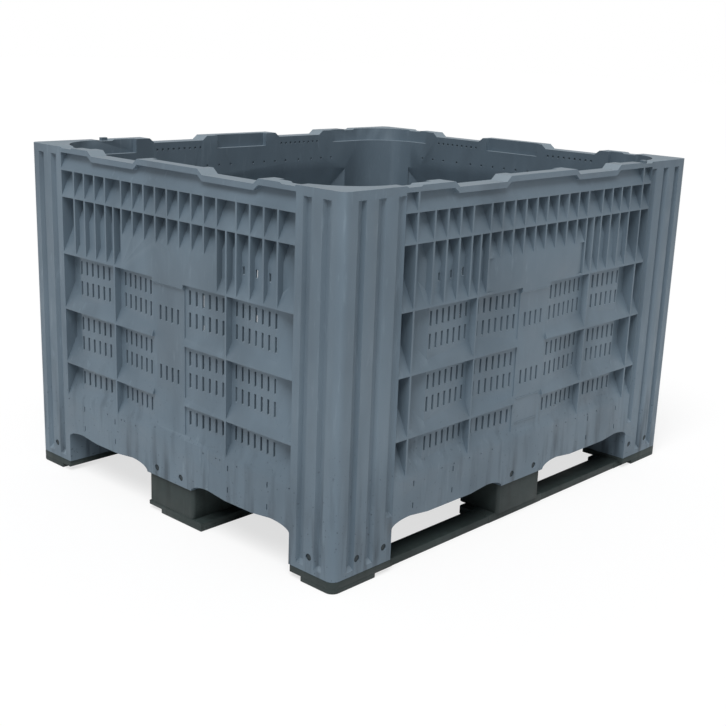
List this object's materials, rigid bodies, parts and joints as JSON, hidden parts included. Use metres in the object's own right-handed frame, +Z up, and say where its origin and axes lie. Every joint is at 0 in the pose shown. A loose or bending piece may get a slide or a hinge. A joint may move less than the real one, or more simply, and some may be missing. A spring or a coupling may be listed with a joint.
{
  "type": "plastic pallet box",
  "caption": "Grey plastic pallet box with ribbed, slotted walls, fluted corner posts and three dark runners pinned underneath.",
  "frame": {"origin": "on the ground under the middle of the box", "axes": "+X along the 1200 mm side and the runners, +Y along the 1000 mm side, +Z up"},
  "size_m": [1.2, 1, 0.7695],
  "materials": {
    "box_grey": "satin",
    "runner_dark": "matte",
    "pin_dark": "satin"
  },
  "bodies": {
    "root": {"box_body": "box_grey", "runner_front": "runner_dark", "runner_middle": "runner_dark", "runner_back": "runner_dark", "pin_front_foot_1": "pin_dark", "pin_front_foot_2": "pin_dark", "pin_front_foot_3": "pin_dark", "pin_front_foot_4": "pin_dark", "pin_front_middle_1": "pin_dark", "pin_front_middle_2": "pin_dark", "pin_back_foot_1": "pin_dark", "pin_back_foot_2": "pin_dark", "pin_back_foot_3": "pin_dark", "pin_back_foot_4": "pin_dark", "pin_back_middle_1": "pin_dark", "pin_back_middle_2": "pin_dark", "pin_left_foot_1": "pin_dark", "pin_left_foot_2": "pin_dark", "pin_left_middle_1": "pin_dark", "pin_left_middle_2": "pin_dark", "pin_right_foot_1": "pin_dark", "pin_right_foot_2": "pin_dark", "pin_right_middle_1": "pin_dark", "pin_right_middle_2": "pin_dark"}
  },
  "joints": []
}
